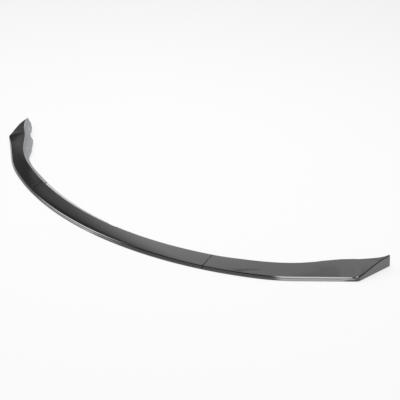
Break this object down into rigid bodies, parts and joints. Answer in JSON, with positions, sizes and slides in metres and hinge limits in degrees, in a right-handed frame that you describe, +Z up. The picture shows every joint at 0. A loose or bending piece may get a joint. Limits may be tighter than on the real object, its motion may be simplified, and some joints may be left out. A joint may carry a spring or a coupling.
{
  "type": "front splitter lip",
  "caption": "Three-section moulded front lip for a car's bumper: a low front wall and wide top band, wings that sweep up to the tips, and a stepped mounting flange behind.",
  "frame": {"origin": "under the middle of the lip, on the level plane of its lower edge, halfway between the nose and the tips", "axes": "X across the car, the nose towards -Y, Z up"},
  "size_m": [1.8, 0.4772, 0.0468],
  "materials": {
    "gloss_black": "gloss black moulded ABS",
    "zinc_steel": "zinc plated"
  },
  "bodies": {
    "root": {"centre_section": "gloss_black", "left_section": "gloss_black", "right_section": "gloss_black", "left_joint_screws": "zinc_steel", "right_joint_screws": "zinc_steel"}
  },
  "joints": []
}
